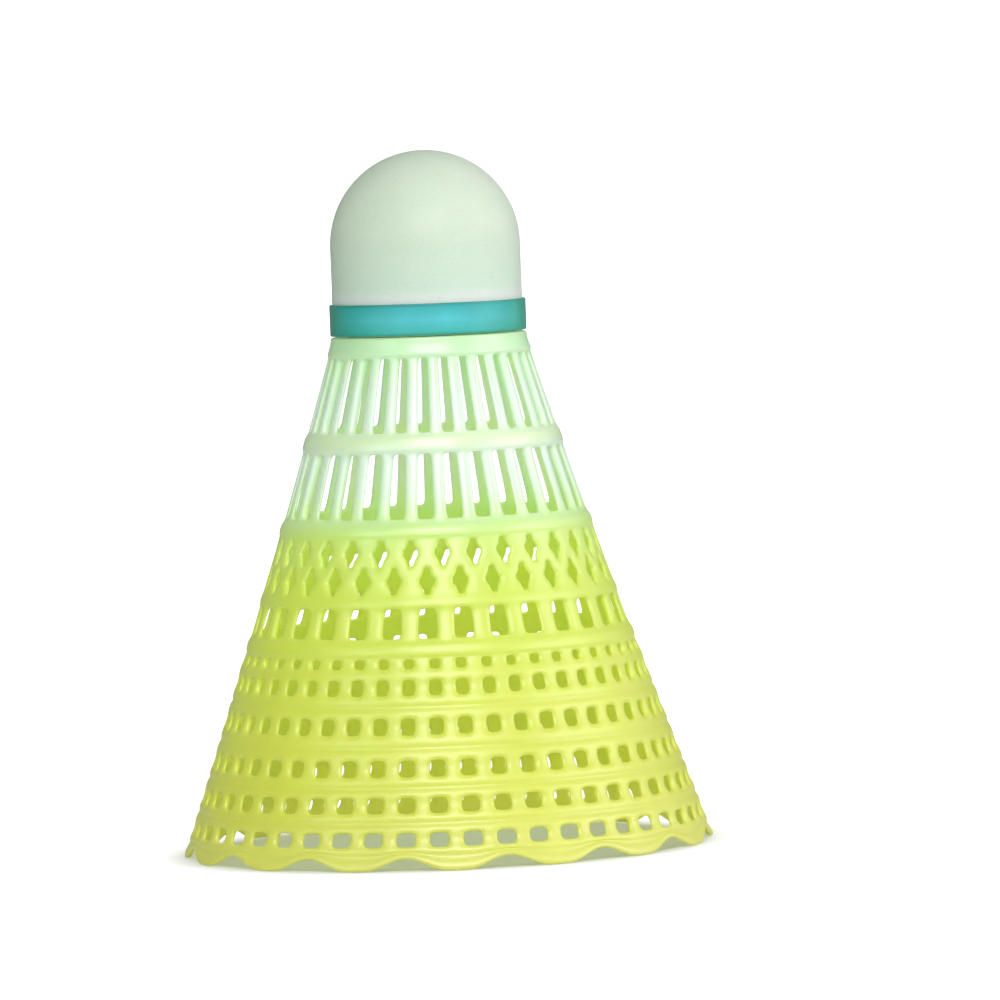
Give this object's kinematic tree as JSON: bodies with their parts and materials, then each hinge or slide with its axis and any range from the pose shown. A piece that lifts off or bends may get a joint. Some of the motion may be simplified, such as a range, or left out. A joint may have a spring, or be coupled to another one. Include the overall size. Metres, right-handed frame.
{
  "type": "badminton shuttlecock",
  "caption": "Shuttlecock with a covered cork head, a narrow speed band and a one-piece moulded nylon skirt with a scalloped mouth.",
  "frame": {"origin": "centre of the skirt's mouth, in the plane the lobe tips stand on", "axes": "+Z from the mouth to the nose along the axis of symmetry; one lobe of the skirt points along -Y"},
  "size_m": [0.0646, 0.0646, 0.085],
  "materials": {
    "nylon": "satin, slightly translucent moulded nylon, fluorescent yellow, paler towards the head",
    "cork": "turned natural cork, raw",
    "cover_leather": "smooth white synthetic leather, fine grain",
    "band_tape": "teal adhesive tape, satin",
    "cured_glue": "cured adhesive, pale amber"
  },
  "bodies": {
    "root": {"skirt": "nylon", "cork_core": "cork", "cap_cover": "cover_leather", "speed_band": "band_tape", "spigot_glue": "cured_glue"}
  },
  "joints": []
}
